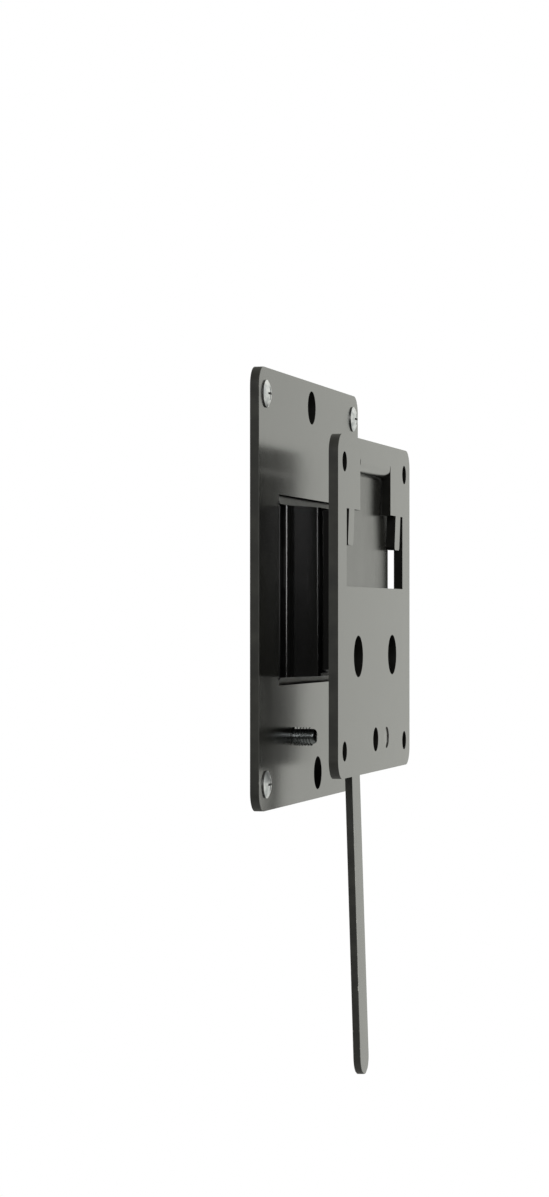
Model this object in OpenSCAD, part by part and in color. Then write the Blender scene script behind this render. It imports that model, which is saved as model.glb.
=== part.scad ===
// Fixed wall mount for a flat screen: a wall plate with a raised receiver and a hanger panel,
// a display plate that hangs on the panel by a folded tongue, and a hanging release lever.
// X runs to the right seen from the front, Z up, and the front faces -Y.
// The origin is the centre of the wall plate's back face, which lies on the wall.
// A depth is counted forwards from the wall plate's front face.

/* [Wall plate] */
// Width of the wall plate
wall_w = 114; // [110:1:130]
// Height of the wall plate
wall_h = 113.6; // [110:0.2:130]
// Thickness of the wall plate's sheet
wall_t = 2.4; // [2:0.1:3]
// Corner radius of both plates
corner_r = 5; // [3:0.5:8]
// Spacing of the four corner screws
wall_pitch = 100; // [98:1:100]
// Diameter of the two holes for wall fixings
fixing_d = 9; // [6:0.5:10]
// Height of those holes above and below the centre
fixing_z = 49.8; // [44:0.2:50]
// Sideways place of the lower wall fixing hole
fixing_low_x = 7; // [0:0.5:10]

/* [Receiver] */
// Width of the receiver's base frame
base_w = 72.6; // [70:0.2:76]
// Top edge of the base frame
base_top = 24.5; // [24:0.1:26]
// Bottom edge of the base frame
base_low = -24.7; // [-26:0.1:-24]
// Width of the raised block
block_w = 56; // [54:1:60]
// Top edge of the raised block at its foot
block_top = 22.3; // [21:0.1:23]
// Bottom edge of the raised block at its foot
block_low = -23; // [-23.5:0.1:-22]
// Height of the block's face above the wall plate
block_rise = 9.2; // [8:0.1:10]
// Wall of the casting
cast_wall = 2; // [1.5:0.1:2.5]

/* [Hanger panel] */
// Width of the hanger panel
panel_w = 58; // [54:1:60]
// Top edge of the panel, which carries the display plate
panel_top = 30.8; // [29:0.1:32]
// Bottom edge of the panel
panel_low = -22; // [-23:0.5:-20]
// Depth of the panel's back
panel_depth = 12.9; // [12.6:0.1:13.2]
// Thickness of the panel
panel_t = 2; // [1.5:0.1:2.2]

/* [Display plate] */
// Width of the display plate
display_w = 90; // [86:1:100]
// Height of the display plate
display_h = 89; // [86:1:100]
// Thickness of the display plate's sheet
display_t = 2.5; // [2:0.1:2.5]
// Height of the display plate's centre
display_z = -4.4; // [-6:0.1:-3]
// Depth of the display plate's back
display_depth = 15.3; // [15.2:0.1:16]
// Spacing of the four corner holes
display_pitch = 75; // [75:1:76]
// Diameter of the corner holes
corner_hole_d = 5.2; // [4.5:0.1:6]
// Diameter of the two driver access holes
access_d = 11; // [9:0.5:12]
// Spacing of the two access holes
access_pitch = 42.6; // [40:0.2:44]
// Height of the access holes
access_z = -17.5; // [-18:0.5:-17]
// Diameter of the lock hole near the lower edge
lock_hole_d = 6.5; // [5:0.5:7]
// Half width of the window's upper part
window_neck = 19.1; // [18.5:0.1:19.5]
// Half width of the window's lower part
window_half = 35.2; // [34:0.1:36]
// Bottom edge of the window
window_low = 0.8; // [0:0.1:2]
// Height of the window's shoulder
window_shoulder = 21.1; // [20:0.1:22]
// Inner edge of a spring finger
finger_in = 26; // [25.5:0.1:27]
// Outer edge of a spring finger
finger_out = 32.3; // [31:0.1:32.5]
// Length of a spring finger
finger_len = 9.4; // [8:0.2:10]
// Half width of the folded tongue
tongue_half = 18.5; // [17:0.1:18.5]
// Lower end of the tongue
tongue_tip = 4; // [3:0.5:5]

/* [Release lever] */
// Width of the lever's arm
lever_w = 9.7; // [8:0.1:11]
// Thickness of the lever
lever_t = 2; // [1.6:0.1:2]
// Depth of the lever's back
lever_depth = 10.2; // [10.1:0.1:10.6]
// Height of the lever's pivot
pivot_z = -12; // [-14:1:-11]
// Diameter of the pivot pin
pivot_d = 6; // [5:0.5:6]
// Lower end of the lever
lever_tip = -131; // [-150:1:-110]
// Height at which the lever bends forwards
lever_bend_z = -46; // [-50:1:-40]
// Forward lean of the lever's lower arm in degrees
lever_lean = 1.8; // [0:0.1:2.5]

/* [Screws] */
// Diameter of a mounting screw's head
head_d = 7.1; // [6.8:0.1:8.5]
// Height of a mounting screw's head
head_h = 1.3; // [1.1:0.1:2.4]
// Thread diameter of a mounting screw
mount_d = 4; // [4:0.5:5]
// Thread diameter of the lock screw
lock_d = 5; // [4:0.5:6]
// Length by which the lock screw stands out of the wall plate
lock_out = 6.2; // [4:0.2:7]
// Thread diameter of a panel screw
panel_screw_d = 4; // [3:0.5:4]

/* [Hidden] */
$fn = 64;
paint = [0.09, 0.09, 0.085];
zinc = [0.78, 0.8, 0.8];
// Far beyond any face, for cuts that pass right through
through = 60;
// Overlap by which one shape enters the next
lap = 1;
root_lap = 0.2;
bend_lap = 0.03;
window_gap = 0.3;
recess = 0.9;
// How far the bars lie behind the plate's face at their outer edge, and stand before it at the block
bar_low = 0.7;
bar_rise = 0.4;
edge_r = 1.2;
draft = 0.7;
cavity_depth = block_rise - cast_wall;
rail_in = 20.4;
rail_out = 26;
rail_low = panel_low + 1;
rail_top = 21;
boss_d = 9;
boss_back = 1;
rib_t = 3;
rib_low = -4;
rivet_x = 23.2;
rivet_z = -4;
rivet_d = 4;
rivet_head_d = 5.2;
lock_x = -20;
lock_z = -38.8;
lock_hole_z = -40.2;
dimple_x = 14;
dimple_d = 5.8;
dimple_depth = 0.3;
bend_in = 0.6;
bend_out = bend_in + display_t;
display_front = display_depth + display_t;
tongue_front = panel_depth - bend_in;
finger_lean = 2;
relief_w = 1.2;
relief_top = panel_top + bend_out + 0.8;
relief_len = 8;
washer_gap = 0.05;
fit_gap = 0.05;
screw_play = 0.5;
panel_r = 2;
soft_r = 1;
washer_d = 14;
clip_d = 10;
clip_t = 0.8;
clip_gap = 0.2;
clip_mouth = 4.2;
pin_back = 4;
pin_end = 1;
pin_groove = 0.6;
arm_top = 11.6;
arm_w = 7;
nose_low = 8.4;
nose_out = 6.6;
slot_left = -10.5;
slot_right = 4.6;
slot_top = 14;
notch_out = 7.6;
notch_low = 7.8;
notch_top = 12.4;
cross_w = 0.9;
cross_len = 4.2;
cross_depth = 1;
rim_share = 0.65;
lock_chamfer = 0.6;

// A flat shape in X and Z made a sheet, with its back at a depth
module sheet(depth, thickness) {
    translate([0, -(wall_t + depth), 0]) rotate([90, 0, 0]) linear_extrude(thickness) children();
}

// A round bar or bore along Y, from one depth to another
module bar(x, z, d, from, to) {
    translate([x, -(wall_t + from), z]) rotate([90, 0, 0]) cylinder(d = d, h = to - from);
}

// A cone along Y, from one depth and diameter to another
module cone(x, z, d_from, d_to, from, to) {
    translate([x, -(wall_t + from), z]) rotate([90, 0, 0]) cylinder(d1 = d_from, d2 = d_to, h = to - from);
}

// A rectangle between two corners
module span(x0, z0, x1, z1) {
    translate([x0, z0]) square([x1 - x0, z1 - z0]);
}

// A rectangle about the origin with true round corners
module rounded(w, h, r) {
    square([w - 2 * r, h], center = true);
    square([w, h - 2 * r], center = true);
    for (x = [-1, 1], z = [-1, 1]) translate([x * (w / 2 - r), z * (h / 2 - r)]) circle(r);
}

// Its children at the four corners of a square
module corners(pitch) {
    for (x = [-1, 1], z = [-1, 1]) translate([x * pitch / 2, z * pitch / 2]) children();
}

module wall_plate() {
    color(paint) difference() {
        sheet(-wall_t, wall_t) difference() {
            rounded(wall_w, wall_h, corner_r);
            corners(wall_pitch) circle(d = mount_d + screw_play);
            translate([0, fixing_z]) circle(d = fixing_d);
            translate([fixing_low_x, -fixing_z]) circle(d = fixing_d);
            translate([lock_x, lock_z]) circle(d = lock_d);
        }
        sheet(-wall_t - lap, wall_t + 2 * lap)
            span(-base_w / 2, base_low - window_gap, base_w / 2, base_top + window_gap);
    }
}

// Section of the raised block across X, with fillets at its foot and round front edges
module block_section() {
    half = block_w / 2;
    span(-half, -wall_t, half, block_rise - edge_r);
    span(-half + edge_r, 0, half - edge_r, block_rise);
    for (side = [-1, 1]) {
        translate([side * (half - edge_r), block_rise - edge_r]) circle(edge_r);
        translate([side * (half + edge_r / 2), -recess + edge_r / 2]) difference() {
            square(edge_r, center = true);
            translate([side * edge_r / 2, edge_r / 2]) circle(edge_r);
        }
    }
}

// The raised block: that section run along Z, with drafted upper and lower ends
module raised_block() {
    intersection() {
        translate([0, -wall_t, block_low]) rotate([0, 0, 180]) linear_extrude(block_top - block_low)
            block_section();
        translate([-through, 0, 0]) rotate([90, 0, 90]) linear_extrude(2 * through) polygon([
            [0, block_low], [0, block_top], [-wall_t, block_top],
            [-wall_t - block_rise, block_top - draft], [-wall_t - block_rise, block_low + draft / 2],
            [-wall_t, block_low]]);
    }
}

// Bar above or below the block, which slopes out from the window's edge to the block's foot
module sloping_bar(outer, inner) {
    back = -wall_t + recess + lap;
    translate([-base_w / 2, 0, 0]) rotate([90, 0, 90]) linear_extrude(base_w) polygon([
        [back, outer], [bar_low - wall_t, outer], [-wall_t - bar_rise, inner], [back, inner]]);
}

module receiver() {
    color(paint) difference() {
        union() {
            sheet(-wall_t, wall_t - recess) span(-base_w / 2, base_low, base_w / 2, base_top);
            sloping_bar(base_top, block_top);
            sloping_bar(base_low, block_low);
            raised_block();
            for (side = [-1, 1]) {
                sheet(block_rise - lap, panel_depth - block_rise + lap)
                    span(min(side * rail_in, side * rail_out), rail_low,
                        max(side * rail_in, side * rail_out), rail_top);
                bar(side * access_pitch / 2, access_z, boss_d, block_rise - lap, panel_depth);
            }
        }
        difference() {
            sheet(-wall_t - lap, cavity_depth + wall_t + lap)
                span(-block_w / 2 + cast_wall, block_low + cast_wall,
                    block_w / 2 - cast_wall, block_top - cast_wall - draft);
            for (side = [-1, 1]) {
                bar(side * access_pitch / 2, access_z, boss_d, boss_back, cavity_depth + lap);
                bar(side * rivet_x, rivet_z, boss_d, boss_back, cavity_depth + lap);
            }
            bar(0, pivot_z, washer_d, pin_back + clip_t + clip_gap, cavity_depth + lap);
            sheet(-wall_t, wall_t + cavity_depth) {
                span(-block_w / 2, -rib_t / 2, block_w / 2, rib_t / 2);
                span(-rib_t / 2, rib_low, rib_t / 2, block_top);
            }
        }
        bar(0, pivot_z, pivot_d, 0, through);
        for (side = [-1, 1]) {
            bar(side * access_pitch / 2, access_z, panel_screw_d, boss_back + lap, through);
            bar(side * rivet_x, rivet_z, rivet_d, 0, through);
        }
    }
}

module hanger_panel() {
    head = 2 * panel_screw_d;
    front = panel_depth + panel_t;
    color(paint) difference() {
        sheet(panel_depth, panel_t) translate([0, (panel_top + panel_low) / 2])
            rounded(panel_w, panel_top - panel_low, panel_r);
        bar(0, pivot_z, pivot_d, 0, through);
        for (side = [-1, 1]) {
            bar(side * access_pitch / 2, access_z, panel_screw_d, 0, through);
            cone(side * access_pitch / 2, access_z, panel_screw_d, head, front - panel_screw_d / 2, front);
            bar(side * rivet_x, rivet_z, rivet_d, 0, through);
        }
    }
}

// Profile of the tongue from the side: down the plate, back over the panel and down behind it
module tongue_profile() {
    lip = panel_top + bend_out;
    back_bend = panel_depth;
    front_bend = display_front - bend_out;
    // Quarter of a bent sheet about its bend centre
    module quarter(n, z, dir_n, dir_z) {
        translate([n, z]) intersection() {
            difference() {
                circle(bend_out);
                circle(bend_in);
            }
            translate([dir_n > 0 ? 0 : -bend_out, dir_z > 0 ? 0 : -bend_out]) square(bend_out);
        }
    }
    span(display_depth, lip, display_front, lip + 2 * lap);
    quarter(front_bend, lip, 1, -1);
    span(back_bend, panel_top, front_bend, panel_top + display_t);
    quarter(back_bend, panel_top - bend_in, -1, 1);
    span(tongue_front - display_t, tongue_tip, tongue_front, panel_top - bend_in);
}

// The tongue with its latch slot and the notch that the lever's nose holds
module tongue() {
    difference() {
        translate([-tongue_half, -wall_t, 0]) rotate([0, 0, 90]) rotate([90, 0, 0])
            mirror([1, 0, 0]) linear_extrude(2 * tongue_half) tongue_profile();
        sheet(tongue_front - display_t - lap, display_t + lap + bend_in / 2) {
            span(slot_left, tongue_tip - lap, slot_right, slot_top);
            span(slot_right - lap, notch_low, notch_out, notch_top);
        }
    }
}

// Window, with its neck, its shoulders and the relief slots beside the tongue
module window_outline() {
    span(-window_half, window_low, window_half, window_shoulder);
    span(-window_neck, window_low, window_neck, panel_top + bend_out);
    for (side = [-1, 1])
        translate([side * (window_neck - relief_w / 2), relief_top - relief_w / 2]) {
            circle(d = relief_w);
            translate([-relief_w / 2, -relief_len]) square([relief_w, relief_len]);
        }
}

// A spring finger that hangs from the window's shoulder and leans back to the panel
module finger(side) {
    mid = (finger_in + finger_out) / 2;
    width = finger_out - finger_in;
    translate([side * mid, -(wall_t + display_depth), window_shoulder]) rotate([finger_lean, 0, 0])
        rotate([90, 0, 0]) linear_extrude(display_t) {
            span(-width / 2, -finger_len + soft_r, width / 2, root_lap);
            span(-width / 2 + soft_r, -finger_len, width / 2 - soft_r, 0);
            for (x = [-1, 1]) translate([x * (width / 2 - soft_r), -finger_len + soft_r]) circle(soft_r);
        }
}

module display_plate() {
    color(paint) difference() {
        union() {
            sheet(display_depth, display_t) difference() {
                translate([0, display_z]) rounded(display_w, display_h, corner_r);
                translate([0, display_z]) corners(display_pitch) circle(d = corner_hole_d);
                for (side = [-1, 1]) translate([side * access_pitch / 2, access_z]) circle(d = access_d);
                translate([0, lock_hole_z]) circle(d = lock_hole_d);
                window_outline();
            }
            tongue();
            for (side = [-1, 1]) finger(side);
        }
        bar(dimple_x, lock_hole_z, dimple_d, display_front - dimple_depth, through);
    }
}

// Outline of the lever above its bend: the hanging arm, the pivot's boss and the latch nose
module lever_head() {
    span(-lever_w / 2, lever_bend_z, lever_w / 2, pivot_z);
    translate([0, pivot_z]) circle(d = washer_d);
    span(-arm_w / 2, pivot_z, arm_w / 2, arm_top - soft_r);
    span(-arm_w / 2 + soft_r, nose_low, nose_out - soft_r, arm_top);
    translate([-arm_w / 2 + soft_r, arm_top - soft_r]) circle(soft_r);
    translate([nose_out - soft_r, arm_top - soft_r]) circle(soft_r);
    span(0, nose_low, nose_out, arm_top - soft_r);
}

module release_lever() {
    arm = lever_bend_z - lever_tip;
    color(paint) difference() {
        union() {
            sheet(lever_depth, lever_t) lever_head();
            translate([0, -(wall_t + lever_depth), lever_bend_z]) rotate([-lever_lean, 0, 0])
                rotate([90, 0, 0]) linear_extrude(lever_t) {
                    span(-lever_w / 2, -arm + lever_w / 2, lever_w / 2, bend_lap);
                    translate([0, -arm + lever_w / 2]) circle(d = lever_w);
                }
        }
        bar(0, pivot_z, pivot_d + 2 * fit_gap, 0, through);
    }
}

module pivot_pin() {
    color(zinc) difference() {
        bar(0, pivot_z, pivot_d, pin_back - pin_end, panel_depth + panel_t);
        difference() {
            bar(0, pivot_z, pivot_d + 2, pin_back, pin_back + clip_t);
            bar(0, pivot_z, pivot_d - 2 * pin_groove, pin_back - lap, pin_back + clip_t + lap);
        }
    }
}

// Open retaining ring in the pin's groove
module pivot_clip() {
    color(zinc) translate([0, -(wall_t + pin_back), pivot_z]) rotate([90, 0, 0])
        linear_extrude(clip_t) difference() {
            circle(d = clip_d);
            circle(d = pivot_d - 2 * pin_groove);
            translate([0, -clip_d / 2]) square([clip_mouth, clip_d], center = true);
        }
}

module washer(from, to) {
    color(zinc) difference() {
        bar(0, pivot_z, washer_d, from, to);
        bar(0, pivot_z, pivot_d, from - lap, to + lap);
    }
}

module rear_washer() {
    washer(block_rise, lever_depth - washer_gap);
}

module front_washer() {
    washer(lever_depth + lever_t + washer_gap, panel_depth);
}

// Cross recess for a driver, cut down from a head's front
module cross_recess(x, z, front, size) {
    for (turn = [0, 90]) translate([x, -(wall_t + front), z]) rotate([0, turn, 0])
        cube([size, 2 * cross_depth, cross_w * size / cross_len], center = true);
}

module panel_screw(side) {
    x = side * access_pitch / 2;
    front = panel_depth + panel_t;
    color(zinc) difference() {
        union() {
            cone(x, access_z, panel_screw_d, 2 * panel_screw_d, front - panel_screw_d / 2, front);
            bar(x, access_z, panel_screw_d, boss_back + 2 * lap, front - panel_screw_d / 2);
        }
        cross_recess(x, access_z, front, cross_len);
    }
}

module panel_screw_left() {
    panel_screw(-1);
}

module panel_screw_right() {
    panel_screw(1);
}

module panel_rivet(side) {
    color(zinc) {
        bar(side * rivet_x, rivet_z, rivet_d, boss_back, panel_depth + panel_t);
        bar(side * rivet_x, rivet_z, rivet_head_d, 0, boss_back);
    }
}

module panel_rivet_left() {
    panel_rivet(-1);
}

module panel_rivet_right() {
    panel_rivet(1);
}

// Low domed head on a shank that ends flush with the plate's back
module mount_screw(col, row) {
    x = col * wall_pitch / 2;
    z = row * wall_pitch / 2;
    rim = head_h * rim_share;
    dome = head_h - rim;
    ball_r = (pow(head_d / 2, 2) + dome * dome) / (2 * dome);
    color(zinc) difference() {
        union() {
            bar(x, z, head_d, 0, rim);
            intersection() {
                translate([x, -(wall_t + head_h - ball_r), z]) sphere(ball_r, $fn = 96);
                bar(x, z, head_d, rim - bend_lap, head_h + lap);
            }
            bar(x, z, mount_d, -wall_t, 0);
        }
        cross_recess(x, z, head_h, cross_len);
    }
}

module mount_screw_top_left() {
    mount_screw(-1, 1);
}

module mount_screw_top_right() {
    mount_screw(1, 1);
}

module mount_screw_low_left() {
    mount_screw(-1, -1);
}

module mount_screw_low_right() {
    mount_screw(1, -1);
}

module lock_screw() {
    color(zinc) {
        bar(lock_x, lock_z, lock_d, -wall_t, lock_out - lock_chamfer);
        cone(lock_x, lock_z, lock_d, lock_d - 2 * lock_chamfer, lock_out - lock_chamfer, lock_out);
    }
}

wall_plate();
receiver();
hanger_panel();
display_plate();
release_lever();
pivot_pin();
pivot_clip();
rear_washer();
front_washer();
panel_screw_left();
panel_screw_right();
panel_rivet_left();
panel_rivet_right();
mount_screw_top_left();
mount_screw_top_right();
mount_screw_low_left();
mount_screw_low_right();
lock_screw();
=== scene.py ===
"""Looks of a fixed wall mount: painted sheet plates, a glossy casting and zinc screws."""

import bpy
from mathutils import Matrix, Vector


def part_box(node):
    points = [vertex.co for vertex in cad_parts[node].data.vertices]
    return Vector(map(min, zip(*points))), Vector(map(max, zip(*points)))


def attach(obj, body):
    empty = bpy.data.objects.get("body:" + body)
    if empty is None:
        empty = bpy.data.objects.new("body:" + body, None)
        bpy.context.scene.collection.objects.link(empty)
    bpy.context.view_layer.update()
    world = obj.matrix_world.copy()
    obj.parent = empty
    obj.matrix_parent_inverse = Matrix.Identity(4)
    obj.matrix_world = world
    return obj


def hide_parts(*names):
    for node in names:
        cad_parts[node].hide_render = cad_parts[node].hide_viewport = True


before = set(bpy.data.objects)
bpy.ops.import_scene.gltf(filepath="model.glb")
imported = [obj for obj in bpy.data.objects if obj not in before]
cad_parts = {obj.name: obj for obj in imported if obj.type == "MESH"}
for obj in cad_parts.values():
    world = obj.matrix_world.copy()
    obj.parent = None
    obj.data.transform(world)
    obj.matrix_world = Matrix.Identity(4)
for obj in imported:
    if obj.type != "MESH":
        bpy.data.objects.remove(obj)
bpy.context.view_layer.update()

import logging
import math
from collections.abc import Callable
from dataclasses import dataclass, field
from enum import Enum

import bpy
from mathutils import Matrix, Vector

LOG = logging.getLogger("wall_mount")
MM = 0.001
# Copied meshes: distance of a weld, and the angle below which two faces count as flat
WELD = 0.002 * MM
FLAT_ANGLE = math.radians(0.8)
# Edge rounding: the sharpness from which an edge is rounded, and its number of strips
SHARP_ANGLE = math.radians(30)
ROUNDING_STRIPS = 2
# A face whose normal passes this along an axis looks that way
ALONG = 0.9
# Radius of the plates' corners
CORNER = 5 * MM
# The dimple's place across and up, and its radius
DIMPLE = (14 * MM, -40.2 * MM)
DIMPLE_RADIUS = 2.9 * MM
# Where the lever's arm is chipped: from its side inwards, and where the chips begin and end
CHIP_SIDE = (-4.0 * MM, -4.4 * MM)
CHIP_TOP = (-60 * MM, -66 * MM)
CHIP_END = (-112 * MM, -104 * MM)

Pair = tuple[float, float]
Triple = tuple[float, float, float]


class Slot(Enum):
    """The record's material slots, passed along with new pieces."""

    BLACK_PAINT = "black_paint"
    CAST_BLACK = "cast_black"
    ZINC = "zinc"


class Body(Enum):
    """The two bodies of the mount."""

    MOUNT = "mount"
    LEVER = "lever"


class Drive(Enum):
    """How a screw is turned."""

    CROSS = "cross"
    NONE = "none"


class Tip(Enum):
    """Which end of a screw's shank is rounded off."""

    BACK = "back"
    FRONT = "front"


class Socket:
    """One output socket that takes part in arithmetic, so shader maths reads as an expression."""

    def __init__(self, shader: "Shader", output: bpy.types.NodeSocket | None) -> None:
        """Wraps a socket.

        Args:
            shader: The material graph that the socket belongs to.
            output: The socket itself, or None at the end of a graph.
        """
        self.shader = shader
        self.output = output

    def _math(self, operation: str, *values: "Socket | float") -> "Socket":
        """Adds a Math node.

        Args:
            operation: The node's operation.
            values: Its inputs in order.

        Returns:
            The node's result.
        """
        inputs = dict(enumerate(values))
        return self.shader.node("ShaderNodeMath", {"operation": operation}, inputs)

    def __add__(self, other: "Socket | float") -> "Socket":
        """Adds.

        Args:
            other: What is added.

        Returns:
            The sum.
        """
        return self._math("ADD", self, other)

    __radd__ = __add__

    def __mul__(self, other: "Socket | float") -> "Socket":
        """Multiplies.

        Args:
            other: What it is multiplied by.

        Returns:
            The product.
        """
        return self._math("MULTIPLY", self, other)

    __rmul__ = __mul__

    def __sub__(self, other: "Socket | float") -> "Socket":
        """Subtracts.

        Args:
            other: What is taken off this socket.

        Returns:
            The difference.
        """
        return self._math("SUBTRACT", self, other)

    def __rsub__(self, other: "Socket | float") -> "Socket":
        """Subtracts this socket.

        Args:
            other: What it is taken off.

        Returns:
            The difference.
        """
        return self._math("SUBTRACT", other, self)

    def larger(self, other: "Socket | float") -> "Socket":
        """The larger of this socket and another.

        Args:
            other: The other.

        Returns:
            The larger.
        """
        return self._math("MAXIMUM", self, other)

    def step(self, low: float, high: float) -> "Socket":
        """Smooth step from 0 at one value to 1 at another.

        Args:
            low: Value at which the result is 0.
            high: Value at which the result is 1.

        Returns:
            The step.
        """
        settings = {"interpolation_type": "SMOOTHSTEP"}
        inputs = {"Value": self, "From Min": low, "From Max": high}
        return self.shader.node("ShaderNodeMapRange", settings, inputs)


class Shader:
    """The node graph of a material or of the world."""

    def __init__(self, owner: bpy.types.Material | bpy.types.World) -> None:
        """Starts with an empty graph.

        Args:
            owner: The material or the world.
        """
        self.owner = owner
        owner.use_nodes = True
        self.tree = owner.node_tree
        self.tree.nodes.clear()

    @classmethod
    def named(cls, name: str) -> "Shader":
        """Starts an empty material.

        Args:
            name: The material's name.

        Returns:
            Its graph.
        """
        return cls(bpy.data.materials.new(name))

    def node(
        self,
        kind: str,
        settings: dict[str, object] | None = None,
        inputs: dict[str | int, object] | None = None,
        output: str | int = 0,
    ) -> Socket:
        """Adds a node.

        Args:
            kind: The node's type.
            settings: Its own settings.
            inputs: Values or links of its sockets, by name or number.
            output: The socket that is returned.

        Returns:
            The chosen output, which is empty on a node that ends the graph.
        """
        made = self.tree.nodes.new(kind)
        for key, value in (settings or {}).items():
            setattr(made, key, value)
        for key, value in (inputs or {}).items():
            if isinstance(value, Socket):
                self.tree.links.new(value.output, made.inputs[key])
            else:
                made.inputs[key].default_value = value
        return Socket(self, made.outputs[output] if made.outputs else None)

    def place(self, axis: str | None = None) -> Socket:
        """Place on the piece in metres.

        Args:
            axis: X, Y or Z for one number, or None for the vector.

        Returns:
            The vector or the number.
        """
        point = self.node("ShaderNodeTexCoord", output="Object")
        if axis is None:
            return point
        return self.node("ShaderNodeSeparateXYZ", inputs={0: point}, output=axis)

    def noise(self, size: float, detail: float = 2.0, stretch: Triple = (1, 1, 1)) -> Socket:
        """Noise with a real grain size.

        Args:
            size: Size of a grain in metres.
            detail: How many finer layers it has.
            stretch: Multiplies the place along each axis first.

        Returns:
            A number about 0.5.
        """
        spread = self.node("ShaderNodeMapping", inputs={"Vector": self.place(), "Scale": stretch})
        inputs = {"Vector": spread, "Scale": 1.0 / size, "Detail": detail}
        return self.node("ShaderNodeTexNoise", {"noise_dimensions": "3D"}, inputs)

    def blend(self, factor: Socket, low: Triple | Socket, high: Triple) -> Socket:
        """Mixes two colours.

        Args:
            factor: 0 gives the first colour and 1 the second.
            low: First colour.
            high: Second colour.

        Returns:
            The mixed colour.
        """
        settings = {"data_type": "RGBA"}
        first = low if isinstance(low, Socket) else (*low, 1.0)
        return self.node("ShaderNodeMix", settings, {0: factor, 6: first, 7: (*high, 1.0)}, 2)

    def bump(self, height: Socket, distance: float, strength: float = 1.0) -> Socket:
        """Bumped normal.

        Args:
            height: Height from 0 to 1.
            distance: Real height in metres of a full step.
            strength: How far the bump shows.

        Returns:
            The normal.
        """
        inputs = {"Height": height, "Distance": distance, "Strength": strength}
        return self.node("ShaderNodeBump", inputs=inputs)

    def surface(self, **sockets: object) -> bpy.types.Material:
        """Closes the graph with its surface.

        Args:
            sockets: Sockets of the surface, with spaces written as underscores.

        Returns:
            The finished material.
        """
        inputs = {key.replace("_", " "): value for key, value in sockets.items()}
        shaded = self.node("ShaderNodeBsdfPrincipled", inputs=inputs)
        self.node("ShaderNodeOutputMaterial", inputs={"Surface": shaded})
        return self.owner


@dataclass(frozen=True)
class Paint:
    """Black paint sprayed on pressed steel."""

    name: str
    colour: Triple = (0.007, 0.007, 0.006)
    worn: Triple = (0.012, 0.012, 0.01)
    roughness: float = 0.12
    roughness_spread: float = 0.05
    gloss: float = 1.56
    cloud_size: float = 14 * MM
    haze_size: float = 5 * MM
    peel_size: float = 2.2 * MM
    peel_height: float = 0.0012 * MM
    chips: bool = False
    # With dimple set, the pressed dimple gets a lighter disc in the next colour: a painted
    # highlight.
    dimple: bool = False
    dimple_highlight_colour: Triple = (0.06, 0.06, 0.055)
    primer: Triple = (0.33, 0.33, 0.31)
    chip_size: float = 1.0 * MM
    chip_roughness: float = 0.25
    chip_depth: float = 2.0

    def make(self) -> bpy.types.Material:
        """Makes the material.

        Returns:
            The material.
        """
        shader = Shader.named(self.name)
        cloud = shader.noise(self.cloud_size, 4.0)
        haze = shader.noise(self.haze_size, 3.0)
        colour = shader.blend(cloud.step(0.35, 0.75), self.colour, self.worn)
        rough = self.roughness + self.roughness_spread * (haze + cloud)
        height = shader.noise(self.peel_size, 2.0)
        sockets: dict[str, object] = {"Base_Color": colour, "Roughness": rough, "IOR": self.gloss}
        # Painted highlight: the pressed dimple is coloured lighter.
        if self.dimple:
            disc = self._dimple_highlight(shader)
            sockets["Base_Color"] = shader.blend(disc, colour, self.dimple_highlight_colour)
        if self.chips:
            chip = self._chips(shader)
            sockets["Base_Color"] = shader.blend(chip, colour, self.primer)
            sockets["Roughness"] = rough + self.chip_roughness * chip
            height = height - self.chip_depth * chip
        sockets["Normal"] = shader.bump(height, self.peel_height)
        return shader.surface(**sockets)

    @staticmethod
    def _dimple_highlight(shader: Shader) -> Socket:
        """The shallow pressed disc beside the lock hole, coloured a little lighter as a painted
        highlight.

        Args:
            shader: The material graph.

        Returns:
            1 inside the disc.
        """
        away_x = shader.place("X") - DIMPLE[0]
        away_z = shader.place("Z") - DIMPLE[1]
        square = away_x * away_x + away_z * away_z
        return square.step(DIMPLE_RADIUS**2, (0.8 * DIMPLE_RADIUS) ** 2)

    def _chips(self, shader: Shader) -> Socket:
        """Small chips along the left front edge of the lever's arm.

        Args:
            shader: The material graph.

        Returns:
            1 where the paint is chipped off.
        """
        side = shader.place("X").step(*CHIP_SIDE)
        height = shader.place("Z")
        span = height.step(*CHIP_TOP) * height.step(*CHIP_END)
        flecks = shader.noise(self.chip_size, 2.0, (1, 1, 0.6)).step(0.54, 0.59)
        return side * span * flecks


@dataclass(frozen=True)
class CutEdge:
    """Painted edge of a punched sheet, with the punch's fine upright scoring under the paint."""

    name: str = "paint_cut_edge"
    colour: Triple = (0.01, 0.01, 0.008)
    light: Triple = (0.02, 0.02, 0.016)
    roughness: float = 0.4
    gloss: float = 1.5
    score_size: float = 0.35 * MM
    score_height: float = 0.02 * MM
    cloud_size: float = 5 * MM

    def make(self) -> bpy.types.Material:
        """Makes the material.

        Returns:
            The material.
        """
        shader = Shader.named(self.name)
        score = shader.noise(self.score_size, 3.0, (1, 0.12, 1))
        cloud = shader.noise(self.cloud_size, 3.0)
        colour = shader.blend(cloud.step(0.3, 0.8), self.colour, self.light)
        rough = self.roughness + 0.2 * score
        normal = shader.bump(score, self.score_height, 0.7)
        return shader.surface(Base_Color=colour, Roughness=rough, IOR=self.gloss, Normal=normal)


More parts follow.
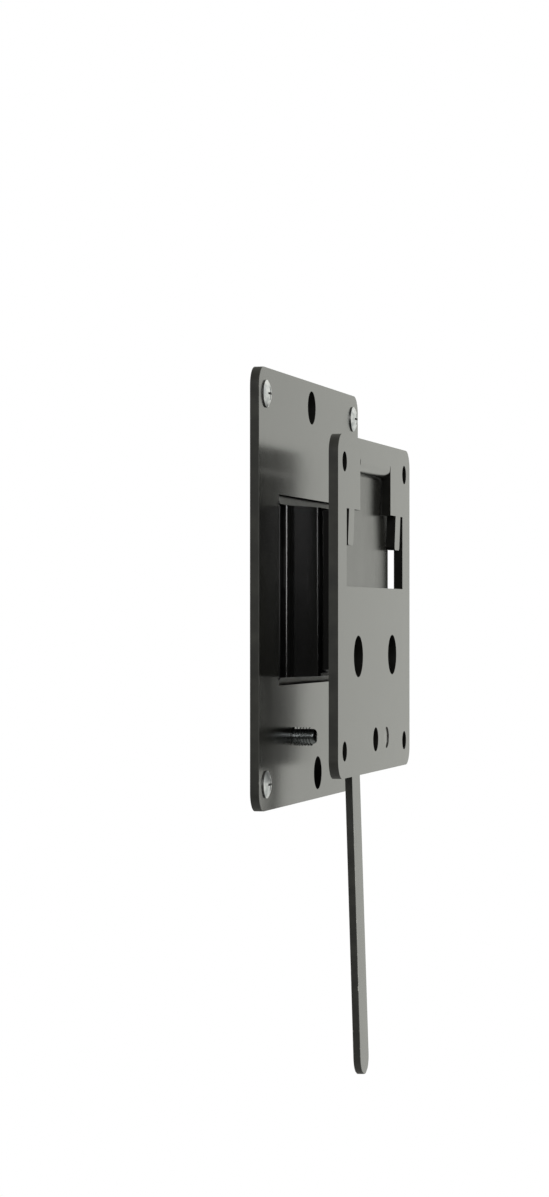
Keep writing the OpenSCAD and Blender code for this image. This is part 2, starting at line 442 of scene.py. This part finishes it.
@dataclass(frozen=True)
class WornEdge:
    """Rounded edge of a painted sheet, where the paint is thin and chipped in small flecks."""

    name: str = "paint_worn_edge"
    worn_from: float = 0.64
    colour: Triple = (0.045, 0.045, 0.04)
    bare: Triple = (0.36, 0.36, 0.33)
    roughness: float = 0.28
    fleck_size: float = 1.1 * MM
    run_size: float = 16 * MM
    haze_size: float = 2 * MM
    chip_height: float = 0.02 * MM

    def make(self) -> bpy.types.Material:
        """Makes the material.

        Returns:
            The material.
        """
        shader = Shader.named(self.name)
        grain = shader.noise(self.fleck_size, 3.0, (1, 1, 0.7))
        fleck = grain.step(self.worn_from, self.worn_from + 0.05)
        run = shader.noise(self.run_size, 2.0).step(0.42, 0.6)
        chip = fleck * run
        colour = shader.blend(chip, self.colour, self.bare)
        rough = self.roughness + 0.1 * shader.noise(self.haze_size) + 0.25 * chip
        normal = shader.bump(1.0 - chip, self.chip_height, 0.6)
        return shader.surface(Base_Color=colour, Roughness=rough, IOR=1.5, Normal=normal)


@dataclass(frozen=True)
class CastGloss:
    """Gloss black coat on a casting, with the slow ripple of the cast skin."""

    name: str = "cast_gloss"
    colour: Triple = (0.003, 0.003, 0.003)
    pale: Triple = (0.005, 0.005, 0.005)
    roughness: float = 0.06
    ripple_size: float = 6 * MM
    ripple_height: float = 0.006 * MM
    fine_size: float = 0.7 * MM

    def make(self) -> bpy.types.Material:
        """Makes the material.

        Returns:
            The material.
        """
        shader = Shader.named(self.name)
        ripple = shader.noise(self.ripple_size, 2.0)
        fine = shader.noise(self.fine_size, 3.0)
        colour = shader.blend(ripple.step(0.3, 0.7), self.colour, self.pale)
        rough = self.roughness + 0.08 * fine
        normal = shader.bump(ripple + 0.15 * fine, self.ripple_height)
        return shader.surface(Base_Color=colour, Roughness=rough, IOR=1.5, Normal=normal)


@dataclass(frozen=True)
class CastRoughSheen:
    """The casting's base frame: rough cast skin, coloured lighter than the gloss block as a painted
    sheen.
    """

    name: str = "cast_rough_painted_sheen"
    # The bars are coloured lighter than the gloss block: painted sheen.
    colour: Triple = (0.05, 0.05, 0.046)
    pale: Triple = (0.085, 0.085, 0.08)
    roughness: float = 0.46
    grain_size: float = 0.5 * MM
    grain_height: float = 0.03 * MM
    cloud_size: float = 7 * MM

    def make(self) -> bpy.types.Material:
        """Makes the material.

        Returns:
            The material.
        """
        shader = Shader.named(self.name)
        grain = shader.noise(self.grain_size, 4.0)
        cloud = shader.noise(self.cloud_size, 3.0)
        colour = shader.blend(cloud.step(0.3, 0.7), self.colour, self.pale)
        rough = self.roughness + 0.16 * grain
        normal = shader.bump(grain, self.grain_height, 0.8)
        return shader.surface(Base_Color=colour, Roughness=rough, IOR=1.5, Normal=normal)


@dataclass(frozen=True)
class Plating:
    """Zinc or oxide plating on a small steel piece, with fine turned rings and dull patches."""

    name: str
    bright: Triple = (0.68, 0.69, 0.7)
    dull: Triple = (0.46, 0.48, 0.49)
    metallic: float = 1.0
    roughness: float = 0.3
    cloud_size: float = 1.8 * MM
    ring_size: float = 0.25 * MM
    ring_height: float = 0.006 * MM

    def make(self) -> bpy.types.Material:
        """Makes the material.

        Returns:
            The material.
        """
        shader = Shader.named(self.name)
        cloud = shader.noise(self.cloud_size, 4.0)
        rings = shader.noise(self.ring_size, 2.0, (1, 0.3, 1))
        colour = shader.blend(cloud.step(0.35, 0.7), self.bright, self.dull)
        rough = self.roughness + 0.22 * cloud.step(0.3, 0.8) + 0.08 * rings
        normal = shader.bump(rings, self.ring_height, 0.6)
        sockets = {"Base_Color": colour, "Roughness": rough, "Metallic": self.metallic}
        return shader.surface(Normal=normal, **sockets)


@dataclass
class Finishes:
    """Every material of the mount, made once."""

    paint: bpy.types.Material = field(init=False)
    lever_paint: bpy.types.Material = field(init=False)
    display_paint: bpy.types.Material = field(init=False)
    cut_edge: bpy.types.Material = field(init=False)
    worn_edge: bpy.types.Material = field(init=False)
    lever_edge: bpy.types.Material = field(init=False)
    panel_paint: bpy.types.Material = field(init=False)
    hole_shade_edge: bpy.types.Material = field(init=False)
    cast_gloss: bpy.types.Material = field(init=False)
    cast_rough_painted_sheen: bpy.types.Material = field(init=False)
    zinc: bpy.types.Material = field(init=False)
    stud: bpy.types.Material = field(init=False)
    oxide: bpy.types.Material = field(init=False)

    def __post_init__(self) -> None:
        """Makes the materials."""
        self.paint = Paint("paint_face").make()
        self.lever_paint = Paint("paint_lever", chips=True).make()
        # The display plate's paint carries a painted highlight on its pressed dimple.
        self.display_paint = Paint("paint_display", dimple=True).make()
        self.cut_edge = CutEdge().make()
        self.worn_edge = WornEdge().make()
        self.lever_edge = WornEdge("paint_lever_edge", worn_from=0.6).make()
        self.panel_paint = Paint("paint_panel", roughness=0.17, gloss=1.38).make()
        # The walls of holes and windows take a darker, less glossy copy of the cut edge: painted
        # shade.
        self.hole_shade_edge = CutEdge(
            "paint_inner_edge",
            colour=(0.003, 0.003, 0.0025),
            light=(0.006, 0.006, 0.005),
            roughness=0.45,
            gloss=1.14,
        ).make()
        self.cast_gloss = CastGloss().make()
        self.cast_rough_painted_sheen = CastRoughSheen().make()
        self.zinc = Plating("zinc_plate").make()
        self.stud = Plating(
            "stud_steel", bright=(0.17, 0.18, 0.18), dull=(0.06, 0.065, 0.065), roughness=0.14
        ).make()
        self.oxide = Plating(
            "black_oxide", bright=(0.16, 0.16, 0.155), dull=(0.07, 0.07, 0.068), metallic=0.9
        ).make()


class Bench:
    """Plain modelling steps that every sub-assembly uses."""

    @staticmethod
    def clear() -> None:
        """Deselects everything, in object mode."""
        if bpy.context.object and bpy.context.object.mode != "OBJECT":
            bpy.ops.object.mode_set(mode="OBJECT")
        bpy.ops.object.select_all(action="DESELECT")

    @staticmethod
    def take(piece: bpy.types.Object) -> bpy.types.Object:
        """Makes a piece the only selected and the active one.

        Args:
            piece: The piece.

        Returns:
            The same piece.
        """
        Bench.clear()
        piece.select_set(True)
        bpy.context.view_layer.objects.active = piece
        return piece

    @staticmethod
    def copy_node(node: str, name: str) -> bpy.types.Object:
        """Copies a CAD node's mesh into a new piece and welds its loose triangles.

        Args:
            node: The CAD node.
            name: The new piece's name.

        Returns:
            The welded piece.
        """
        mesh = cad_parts[node].data.copy()
        mesh.materials.clear()
        piece = bpy.data.objects.new(name, mesh)
        bpy.context.scene.collection.objects.link(piece)
        Bench.take(piece)
        bpy.ops.object.mode_set(mode="EDIT")
        bpy.ops.mesh.select_all(action="SELECT")
        bpy.ops.mesh.customdata_custom_splitnormals_clear()
        bpy.ops.mesh.remove_doubles(threshold=WELD)
        bpy.ops.mesh.dissolve_limited(angle_limit=FLAT_ANGLE)
        bpy.ops.object.mode_set(mode="OBJECT")
        return piece

    @staticmethod
    def modify(piece: bpy.types.Object, kind: str, **settings: object) -> None:
        """Adds a modifier and applies it.

        Args:
            piece: The piece.
            kind: The modifier's type.
            settings: Its settings.
        """
        Bench.take(piece)
        added = piece.modifiers.new(kind.lower(), kind)
        for key, value in settings.items():
            setattr(added, key, value)
        bpy.ops.object.modifier_apply(modifier=added.name)

    @staticmethod
    def smooth(piece: bpy.types.Object, degrees: float) -> None:
        """Shades a piece smooth, with edges sharper than an angle kept.

        Args:
            piece: The piece.
            degrees: That angle.
        """
        Bench.take(piece)
        bpy.ops.object.shade_smooth_by_angle(angle=math.radians(degrees))

    @staticmethod
    def soften(piece: bpy.types.Object, width: float, material: int) -> None:
        """Rounds every sharp edge and keeps flat faces flat in their shading.

        Args:
            piece: The piece.
            width: Width of the rounding in metres.
            material: Number of the material that the rounding takes.
        """
        settings = {"limit_method": "ANGLE", "angle_limit": SHARP_ANGLE}
        settings |= {"width": width, "segments": ROUNDING_STRIPS, "use_clamp_overlap": True}
        settings |= {"miter_outer": "MITER_ARC", "harden_normals": False, "material": material}
        Bench.take(piece)
        bpy.ops.object.shade_smooth()
        Bench.modify(piece, "BEVEL", **settings)
        Bench.modify(piece, "WEIGHTED_NORMAL", mode="FACE_AREA", weight=100, keep_sharp=False)

    @staticmethod
    def pick_faces(piece: bpy.types.Object, test: Callable[[bpy.types.MeshPolygon], bool]) -> None:
        """Selects the faces that pass a test and goes to edit mode.

        Args:
            piece: The piece.
            test: Says whether a face is wanted.
        """
        Bench.take(piece)
        bpy.ops.object.mode_set(mode="EDIT")
        bpy.ops.mesh.select_mode(type="FACE")
        bpy.ops.mesh.select_all(action="DESELECT")
        bpy.ops.object.mode_set(mode="OBJECT")
        for face in piece.data.polygons:
            face.select = bool(test(face))
        bpy.ops.object.mode_set(mode="EDIT")

    @staticmethod
    def pull(
        piece: bpy.types.Object, test: Callable[[bpy.types.MeshVertex], bool], move: Triple
    ) -> None:
        """Moves the points of a piece that pass a test.

        Args:
            piece: The piece.
            test: Says whether a point is moved.
            move: How far, in metres.
        """
        Bench.take(piece)
        bpy.ops.object.mode_set(mode="EDIT")
        bpy.ops.mesh.select_mode(type="VERT")
        bpy.ops.mesh.select_all(action="DESELECT")
        bpy.ops.object.mode_set(mode="OBJECT")
        for vertex in piece.data.vertices:
            vertex.select = bool(test(vertex))
        bpy.ops.object.mode_set(mode="EDIT")
        bpy.ops.transform.translate(value=move)
        bpy.ops.object.mode_set(mode="OBJECT")

    @staticmethod
    def settle(piece: bpy.types.Object) -> None:
        """Puts a piece's place into its mesh, with its object at the origin.

        Args:
            piece: The piece.
        """
        Bench.take(piece)
        bpy.ops.object.transform_apply(location=True, rotation=True, scale=True)

    @staticmethod
    def outward(piece: bpy.types.Object) -> None:
        """Turns every face outwards.

        Args:
            piece: The piece.
        """
        Bench.take(piece)
        bpy.ops.object.mode_set(mode="EDIT")
        bpy.ops.mesh.select_all(action="SELECT")
        bpy.ops.mesh.normals_make_consistent(inside=False)
        bpy.ops.object.mode_set(mode="OBJECT")

    @staticmethod
    def join(pieces: list[bpy.types.Object], name: str) -> bpy.types.Object:
        """Joins pieces into the first.

        Args:
            pieces: The pieces.
            name: The joined piece's name.

        Returns:
            The joined piece.
        """
        Bench.take(pieces[0])
        for piece in pieces[1:]:
            piece.select_set(True)
        bpy.ops.object.join()
        pieces[0].name = name
        return pieces[0]

    @staticmethod
    def dress(
        piece: bpy.types.Object,
        materials: list[bpy.types.Material],
        choose: Callable[[bpy.types.MeshPolygon], int] | None = None,
    ) -> None:
        """Gives a piece its materials.

        Args:
            piece: The piece.
            materials: Its materials.
            choose: Number of the material that a face takes, or None for the first.
        """
        piece.data.materials.clear()
        for material in materials:
            piece.data.materials.append(material)
        for face in piece.data.polygons:
            face.material_index = choose(face) if choose else 0

    @staticmethod
    def hand_over(piece: bpy.types.Object, body: Body, slot: Slot, *nodes: str) -> None:
        """Puts a finished piece on its body in place of CAD nodes.

        Args:
            piece: The piece.
            body: The body it moves with.
            slot: The record's material slot; not used.
            nodes: The CAD nodes it stands for.
        """
        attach(piece, body.value)
        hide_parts(*nodes)
        LOG.info("%s: %d faces, for %s", piece.name, len(piece.data.polygons), ", ".join(nodes))


@dataclass
class PressedSheet:
    """A sheet plate or strip: the CAD shape with rounded edges and painted cut faces."""

    node: str
    name: str
    finishes: Finishes
    body: Body = Body.MOUNT
    edge: float = 0.3 * MM
    face_material: str = "paint"
    edge_material: str = "worn_edge"
    corner: float = 0.0
    fold_half: float = 0.0
    fold_low: float = 25 * MM
    fold_tilt: float = 0.3
    face_tilt: float = 0.35
    outer_margin: float = 0.4 * MM
    dimple_reach: float = 1.1 * DIMPLE_RADIUS

    def build(self) -> bpy.types.Object:
        """Builds the plate.

        Returns:
            The finished piece.
        """
        piece = Bench.copy_node(self.node, self.name)
        self.shape(piece)
        face = getattr(self.finishes, self.face_material)
        rounding = getattr(self.finishes, self.edge_material)
        # The fourth coat darkens the walls inside holes and windows as painted shade.
        coats = [face, self.finishes.cut_edge, rounding, self.finishes.hole_shade_edge]
        Bench.dress(piece, coats, self._coat)
        Bench.soften(piece, self.edge, material=2)
        Bench.hand_over(piece, self.body, Slot.BLACK_PAINT, self.node)
        return piece

    def shape(self, piece: bpy.types.Object) -> None:
        """Changes the copied shape where a sheet needs it.

        Args:
            piece: The copy.
        """

    def _coat(self, face: bpy.types.MeshPolygon) -> int:
        """Chooses the coat of a face.

        Args:
            face: The face.

        Returns:
            0 on the front, back, fold and dimple, 1 on an outer cut edge, 3 inside a hole, where a
            darker coat is painted shade.
        """
        in_fold = abs(face.center.x) < self.fold_half and abs(face.normal.x) < self.fold_tilt
        if abs(face.normal.y) > self.face_tilt or (in_fold and face.center.z > self.fold_low):
            return 0
        if not self.corner or self._inside(face.center) < self.outer_margin:
            return 1
        away = math.hypot(face.center.x - DIMPLE[0], face.center.z - DIMPLE[1])
        return 0 if away < self.dimple_reach else 3

    def _inside(self, point: Vector) -> float:
        """Works out how far a point lies inside the sheet's outline.

        Args:
            point: The point.

        Returns:
            The distance in metres.
        """
        low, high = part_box(self.node)
        across = abs(point.x - (low.x + high.x) / 2) - (high.x - low.x) / 2 + self.corner
        up = abs(point.z - (low.z + high.z) / 2) - (high.z - low.z) / 2 + self.corner
        outer = math.hypot(max(across, 0.0), max(up, 0.0))
        return self.corner - outer - min(max(across, up), 0.0)


@dataclass
class HangerPanel(PressedSheet):
    """The flat panel, with its far upper edge a little fuller beside the fold."""

    step_from: float = 18.8 * MM
    step_to: float = 27.2 * MM
    step: float = 0.4 * MM

    def shape(self, piece: bpy.types.Object) -> None:
        """Adds the low step beside the fold.

        Args:
            piece: The copy.
        """
        low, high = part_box(self.node)
        size = (self.step_to - self.step_from, high.y - low.y, 2 * self.step)
        place = ((self.step_from + self.step_to) / 2, (low.y + high.y) / 2, high.z)
        Bench.clear()
        bpy.ops.mesh.primitive_cube_add(size=1, location=place, scale=size)
        step = bpy.context.object
        Bench.settle(step)
        Bench.modify(piece, "BOOLEAN", operation="UNION", object=step, solver="EXACT")
        bpy.data.objects.remove(step)


@dataclass
class LeverStrip(PressedSheet):
    """The lever's strip, with its arm drawn a little wider."""

    extra: float = 0.3 * MM
    side_from: float = 3 * MM
    arm_top: float = -50 * MM

    def shape(self, piece: bpy.types.Object) -> None:
        """Widens the arm.

        Args:
            piece: The copy.
        """
        for sign in (-1, 1):
            move = (sign * self.extra, 0, 0)
            Bench.pull(piece, lambda v: self._on_side(v.co, sign), move)

    def _on_side(self, point: Vector, sign: int) -> bool:
        """Says whether a point lies on one side of the arm.

        Args:
            point: The point.
            sign: 1 for the right side and -1 for the left.

        Returns:
            True on that side.
        """
        return sign * point.x > self.side_from and point.z < self.arm_top


@dataclass
class Casting:
    """The receiver: gloss block, rougher base frame with a lighter painted sheen."""

    finishes: Finishes
    edge: float = 0.25 * MM
    frame_low: float = -23.1 * MM
    frame_top: float = 22.2 * MM
    frame_back: float = -1.0 * MM
    edge_low: float = -24.7 * MM
    edge_top: float = 24.5 * MM
    edge_reach: float = 0.02 * MM
    closing: float = 0.22 * MM

    def build(self) -> bpy.types.Object:
        """Builds the casting.

        Returns:
            The finished piece.
        """
        piece = Bench.copy_node("receiver", "receiver_casting")
        self._close_gap(piece)
        # The bars above and below the block take the lighter rough coat: painted sheen.
        materials = [self.finishes.cast_gloss, self.finishes.cast_rough_painted_sheen]
        Bench.dress(piece, materials, self._material)
        Bench.soften(piece, self.edge, material=0)
        Bench.hand_over(piece, Body.MOUNT, Slot.CAST_BLACK, "receiver")
        return piece

    def _close_gap(self, piece: bpy.types.Object) -> None:
        """Brings the frame's upper and lower edges nearer to the plate's window.

        Args:
            piece: The casting.
        """
        for sign, edge in ((1, self.edge_top), (-1, self.edge_low)):
            move = (0, 0, sign * self.closing)
            Bench.pull(piece, lambda v: abs(v.co.z - edge) < self.edge_reach, move)

    def _material(self, face: bpy.types.MeshPolygon) -> int:
        """Chooses gloss or rough for a face.

        Args:
            face: The face.

        Returns:
            1 on the bars above and below the block, which take the lighter coat as painted sheen,
            and otherwise 0.
        """
        outside = not self.frame_low < face.center.z < self.frame_top
        return int(outside and face.center.y < self.frame_back)


@dataclass
class Thread:
    """A thin square helical rib that stands for a thread, sized in shares of its pitch."""

    major: float
    pitch: float
    depth: float = 0.6
    width: float = 0.1892
    sunk: float = 0.05 * MM
    steps: int = 28

    @property
    def core(self) -> float:
        """Works out the thread's root.

        Returns:
            Its radius.
        """
        return self.major - self.depth * self.pitch

    def build(self, start: float, length: float) -> bpy.types.Object:
        """Builds the rib along +Z.

        Args:
            start: Height of its lower end.
            length: Its length.

        Returns:
            The rib, as a closed mesh.
        """
        Bench.clear()
        root = self.core - self.sunk
        middle = (root + self.major) / 2
        place = (middle, 0, start + self.pitch / 2)
        turned = (math.radians(90), 0, 0)
        bpy.ops.mesh.primitive_plane_add(size=1, location=place, rotation=turned)
        rib = bpy.context.object
        rib.scale = (self.major - root, self.width * self.pitch, 1)
        Bench.settle(rib)
        bpy.ops.object.mode_set(mode="EDIT")
        bpy.ops.mesh.select_mode(type="VERT")
        bpy.ops.mesh.select_all(action="SELECT")
        bpy.ops.mesh.delete(type="ONLY_FACE")
        bpy.ops.object.mode_set(mode="OBJECT")
        turns = max(1, int((length - self.pitch) / self.pitch))
        settings = {"axis": "Z", "screw_offset": self.pitch, "iterations": turns}
        settings |= {"steps": self.steps, "render_steps": self.steps, "use_normal_calculate": True}
        Bench.modify(rib, "SCREW", **settings)
        Bench.take(rib)
        bpy.ops.object.mode_set(mode="EDIT")
        bpy.ops.mesh.select_all(action="SELECT")
        bpy.ops.mesh.fill_holes(sides=4)
        bpy.ops.object.mode_set(mode="OBJECT")
        Bench.outward(rib)
        return rib


@dataclass
class ThreadedScrew:
    """One screw: a head with its drive, a cored shank and a thread's helical rib."""

    node: str
    name: str
    finish: bpy.types.Material
    # Darker finish of the head's upright side and cross recess: painted shade
    shade_finish: bpy.types.Material
    thread: Thread
    drive: Drive = Drive.CROSS
    tip: Tip = Tip.BACK
    tip_length: float = 0.9 * MM
    neck: float = 0.1 * MM
    head_radius: float = 0.0
    rim: float = 0.0
    dome: float = 0.0
    recess: float = 0.9 * MM
    shank_sides: int = 40
    head_sides: int = 56
    dome_rings: int = 7
    arm_share: float = 0.72
    width_share: float = 0.24
    floor_share: float = 0.45
    smooth_below: float = 35.0

    def build(self) -> bpy.types.Object:
        """Builds the screw where its CAD node is.

        Returns:
            The finished piece.
        """
        low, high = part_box(self.node)
        centre = (low + high) / 2
        length = high.y - low.y
        head = self.rim + self.dome
        bare = self.tip_length if self.tip is Tip.FRONT else self.neck
        run = length - head - bare
        parts = [self._shank(head, length), self.thread.build(head + bare, run)]
        if self.head_radius:
            parts.append(self._head())
        screw = Bench.join(parts, self.name)
        screw.data.transform(Matrix.Rotation(math.radians(-90), 4, "X"))
        screw.data.transform(Matrix.Translation(Vector((centre.x, low.y, centre.z))))
        Bench.smooth(screw, self.smooth_below)
        front = Vector((centre.x, low.y, centre.z))
        # The head's upright side and its cross recess take the darker finish: painted shade.
        Bench.dress(screw, [self.finish, self.shade_finish], lambda f: self._painted_shade(f, front))
        Bench.hand_over(screw, Body.MOUNT, Slot.ZINC, self.node)
        return screw

    def _painted_shade(self, face: bpy.types.MeshPolygon, front: Vector) -> int:
        """Says whether a face is the head's upright side or lies in the cross recess, which take
        the darker finish as painted shade.

        Args:
            face: The face.
            front: Middle of the head's front.

        Returns:
            1 there, and otherwise 0.
        """
        away = face.center - front
        reach = math.hypot(away.x, away.z)
        if not self.head_radius or away.y > self.rim + self.dome + 0.02 * MM:
            return 0
        if reach > 0.9 * self.head_radius:
            return int(abs(face.normal.y) < 0.2)
        domed = self.dome * (reach / self.head_radius) ** 2
        return int(away.y > domed + 0.1 * MM)

    def _shank(self, start: float, length: float) -> bpy.types.Object:
        """Builds the core with one end rounded off.

        Args:
            start: Height at which it leaves the head.
            length: Length of the whole screw.

        Returns:
            The core along +Z.
        """
        Bench.clear()
        depth = length - start
        place = (0, 0, start + depth / 2)
        radius = self.thread.core
        bpy.ops.mesh.primitive_cylinder_add(
            vertices=self.shank_sides, radius=radius, depth=depth, location=place
        )
        core = bpy.context.object
        Bench.settle(core)
        sign = -1 if self.tip is Tip.FRONT else 1
        Bench.pick_faces(core, lambda f: sign * f.normal.z > ALONG)
        bpy.ops.mesh.bevel(offset=self.tip_length, segments=4, affect="EDGES")
        bpy.ops.object.mode_set(mode="OBJECT")
        return core

    def _head(self) -> bpy.types.Object:
        """Builds the domed head with its cross recess, front face down at the origin.

        Returns:
            The head.
        """
        Bench.clear()
        top = self.dome
        place = (0, 0, top + self.rim / 2)
        bpy.ops.mesh.primitive_cylinder_add(
            vertices=self.head_sides, radius=self.head_radius, depth=self.rim, location=place
        )
        head = bpy.context.object
        Bench.settle(head)
        Bench.pick_faces(head, lambda f: f.normal.z < -ALONG)
        ball = (self.head_radius**2 + top**2) / (2 * top)
        reach, radius = 0.0, self.head_radius
        for ring in range(1, self.dome_rings + 1):
            turn = math.radians(90) * ring / (self.dome_rings + 1)
            next_reach = top * math.sin(turn)
            next_radius = math.sqrt(ball**2 - (ball - top + next_reach) ** 2)
            move = {"value": (0, 0, reach - next_reach)}
            bpy.ops.mesh.extrude_region_move(TRANSFORM_OT_translate=move)
            size = (next_radius / radius, next_radius / radius, 1)
            bpy.ops.transform.resize(value=size, center_override=(0, 0, top - next_reach))
            reach, radius = next_reach, next_radius
        bpy.ops.object.mode_set(mode="OBJECT")
        if self.drive is Drive.CROSS:
            self._cut_cross(head)
        return head

    def _cut_cross(self, head: bpy.types.Object) -> None:
        """Cuts the cross recess, which narrows as it goes down.

        Args:
            head: The head.
        """
        Bench.clear()
        arm = self.arm_share * self.head_radius
        width = self.width_share * self.head_radius
        depth = 2 * self.recess
        bpy.ops.mesh.primitive_cube_add(size=1, location=(0, 0, 0), scale=(width, width, depth))
        cutter = bpy.context.object
        Bench.settle(cutter)
        for axis, sign in (("x", 1), ("x", -1), ("y", 1), ("y", -1)):
            reach = sign * (arm - width / 2)
            move = (reach, 0, 0) if axis == "x" else (0, reach, 0)
            Bench.pick_faces(cutter, lambda f: self._end(f, axis, sign, width))
            bpy.ops.mesh.extrude_region_move(TRANSFORM_OT_translate={"value": move})
            bpy.ops.object.mode_set(mode="OBJECT")
        Bench.pick_faces(cutter, lambda f: f.normal.z > ALONG)
        size = (self.floor_share, self.floor_share, 1)
        bpy.ops.transform.resize(value=size, center_override=(0, 0, self.recess))
        bpy.ops.object.mode_set(mode="OBJECT")
        Bench.outward(cutter)
        Bench.modify(head, "BOOLEAN", operation="DIFFERENCE", object=cutter, solver="EXACT")
        bpy.data.objects.remove(cutter)

    @staticmethod
    def _end(face: bpy.types.MeshPolygon, axis: str, sign: int, width: float) -> bool:
        """Says whether a face is the side of the cutter's middle from which an arm grows.

        Args:
            face: The face.
            axis: x or y.
            sign: 1 or -1 along that axis.
            width: Width of the middle.

        Returns:
            True on that side.
        """
        near = max(abs(face.center.x), abs(face.center.y)) < 0.6 * width
        return near and sign * getattr(face.normal, axis) > ALONG


@dataclass
class SmallPieces:
    """The pin, ring, washers and rivets, which keep their CAD shape."""

    finishes: Finishes
    zinc_nodes: tuple[str, ...] = ("pivot_pin", "pivot_clip", "rear_washer", "front_washer")
    oxide_nodes: tuple[str, ...] = (
        "panel_rivet_left",
        "panel_rivet_right",
        "panel_screw_left",
        "panel_screw_right",
    )

    def build(self) -> None:
        """Dresses the nodes."""
        for nodes, finish in (
            (self.zinc_nodes, self.finishes.zinc),
            (self.oxide_nodes, self.finishes.oxide),
        ):
            for name in nodes:
                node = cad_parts[name]
                node.data.materials.clear()
                node.data.materials.append(finish)
                LOG.info("%s: kept as built", name)


@dataclass(frozen=True)
class Lamp:
    """A soft lamp: its place, its power in watts, and its width and height in metres."""

    name: str
    place: Triple
    power: float
    size: Pair

    def build(self) -> None:
        """Adds the lamp, turned to the mount."""
        Bench.clear()
        bpy.ops.object.light_add(type="AREA", location=self.place)
        lamp = bpy.context.object
        lamp.name = self.name
        lamp.data.energy = self.power
        lamp.data.shape = "RECTANGLE"
        lamp.data.size, lamp.data.size_y = self.size
        lamp.rotation_euler = Vector(self.place).to_track_quat("Z", "Y").to_euler()


@dataclass
class Studio:
    """Floor, world, lamps and camera."""

    lens: float = 89.39
    place: Triple = (-0.78648, -0.19244, -0.00808)
    heading: float = -75.696
    shift_y: float = 0.0185
    floor_z: float = -0.9
    floor_size: float = 2.6
    floor_colour: Triple = (0.8, 0.8, 0.8)
    floor_pale: Triple = (0.84, 0.84, 0.84)
    ambient: float = 0.45
    back_shade: float = 0.6
    back_span: Pair = (-0.12, 0.18)
    side_span: Pair = (-0.5, 0.6)
    tint: Triple = (0.99, 1.0, 0.93)
    dark_side: float = 0.1
    lamps: tuple[Lamp, ...] = (
        Lamp("key", (-0.55, -0.95, 0.75), 9.0, (0.7, 0.7)),
        Lamp("strip", (-0.9, -0.42, 0.32), 4.0, (0.2, 0.7)),
        Lamp("line", (-0.92, -0.115, 0.2), 0.85, (0.06, 0.36)),
    )

    def build(self) -> None:
        """Builds the studio."""
        self._floor()
        self._world()
        for lamp in self.lamps:
            lamp.build()
        self._camera()

    def _floor(self) -> None:
        """Adds the pale floor below the mount."""
        Bench.clear()
        bpy.ops.mesh.primitive_plane_add(size=self.floor_size, location=(0, 0, self.floor_z))
        floor = bpy.context.object
        floor.name = "floor"
        Bench.settle(floor)
        shader = Shader.named("pale_floor")
        cloud = shader.noise(0.2, 2.0)
        colour = shader.blend(cloud, self.floor_colour, self.floor_pale)
        Bench.dress(floor, [shader.surface(Base_Color=colour, Roughness=0.8)])

    def _world(self) -> None:
        """Adds a world that is white to the eye and to reflections and gives a plain soft light."""
        world = bpy.data.worlds.new("plain_world")
        bpy.context.scene.world = world
        shader = Shader(world)
        camera = shader.node("ShaderNodeLightPath", output="Is Camera Ray")
        glossy = shader.node("ShaderNodeLightPath", output="Is Glossy Ray")
        clear = shader.node("ShaderNodeLightPath", output="Is Transmission Ray")
        way = shader.node("ShaderNodeTexCoord", output="Generated")
        side = shader.node("ShaderNodeSeparateXYZ", inputs={0: way}, output="X")
        back = shader.node("ShaderNodeSeparateXYZ", inputs={0: way}, output="Y")
        shade = 1.0 - self.back_shade * back.step(*self.back_span)
        dusk = self.dark_side + (1.0 - self.dark_side) * side.step(*self.side_span) * shade
        bright = dusk.larger(camera)
        seen = self.ambient + camera.larger(glossy).larger(clear) * (bright - self.ambient)
        colour = shader.blend(camera, self.tint, (1, 1, 1))
        sky = shader.node("ShaderNodeBackground", inputs={"Color": colour, "Strength": seen})
        shader.node("ShaderNodeOutputWorld", inputs={"Surface": sky})

    def _camera(self) -> None:
        """Adds the camera at the photograph's angle."""
        turned = (math.radians(90), 0, math.radians(self.heading))
        bpy.ops.object.camera_add(location=self.place, rotation=turned)
        camera = bpy.context.object
        camera.data.lens = self.lens
        camera.data.sensor_width = 36
        camera.data.shift_y = self.shift_y
        camera.data.clip_start = 0.01
        bpy.context.scene.camera = camera


@dataclass
class WallMount:
    """The whole mount."""

    finishes: Finishes

    def build(self) -> None:
        """Builds every piece."""
        self._sheets()
        Casting(self.finishes).build()
        self._screws()
        SmallPieces(self.finishes).build()

    def _sheets(self) -> None:
        """Builds the plates, the panel and the lever."""
        wall = PressedSheet("wall_plate", "wall_plate_sheet", self.finishes)
        wall.corner = CORNER
        wall.build()
        panel = HangerPanel("hanger_panel", "hanger_panel_sheet", self.finishes)
        panel.face_material = "panel_paint"
        panel.build()
        display = PressedSheet("display_plate", "display_plate_sheet", self.finishes)
        display.fold_half, display.corner = 18.4 * MM, CORNER
        display.face_material = "display_paint"
        display.build()
        lever = LeverStrip("release_lever", "release_lever_strip", self.finishes, Body.LEVER)
        lever.face_material, lever.edge_material = "lever_paint", "lever_edge"
        lever.edge = 0.18 * MM
        lever.build()

    def _screws(self) -> None:
        """Builds the screws."""
        small = Thread(2.0 * MM, 0.7 * MM)
        for place in ("top_left", "top_right", "low_left", "low_right"):
            node, name = f"mount_screw_{place}", f"pan_screw_{place}"
            # The black oxide on each head's rim and cross recess is painted shade.
            screw = ThreadedScrew(node, name, self.finishes.zinc, self.finishes.oxide, small)
            screw.head_radius, screw.rim, screw.dome = 3.55 * MM, 0.35 * MM, 0.95 * MM
            screw.build()
        large = Thread(2.5 * MM, 0.8 * MM)
        steel = self.finishes.stud
        stud = ThreadedScrew("lock_screw", "lock_stud", steel, steel, large, Drive.NONE, Tip.FRONT)
        stud.build()


def main() -> None:
    """Builds the mount and its studio."""
    logging.basicConfig(level=logging.INFO, format="%(name)s %(message)s")
    bpy.ops.object.select_all(action="DESELECT")
    WallMount(Finishes()).build()
    Studio().build()
    bpy.context.scene.view_settings.view_transform = "Standard"


if __name__ == "__main__":
    main()
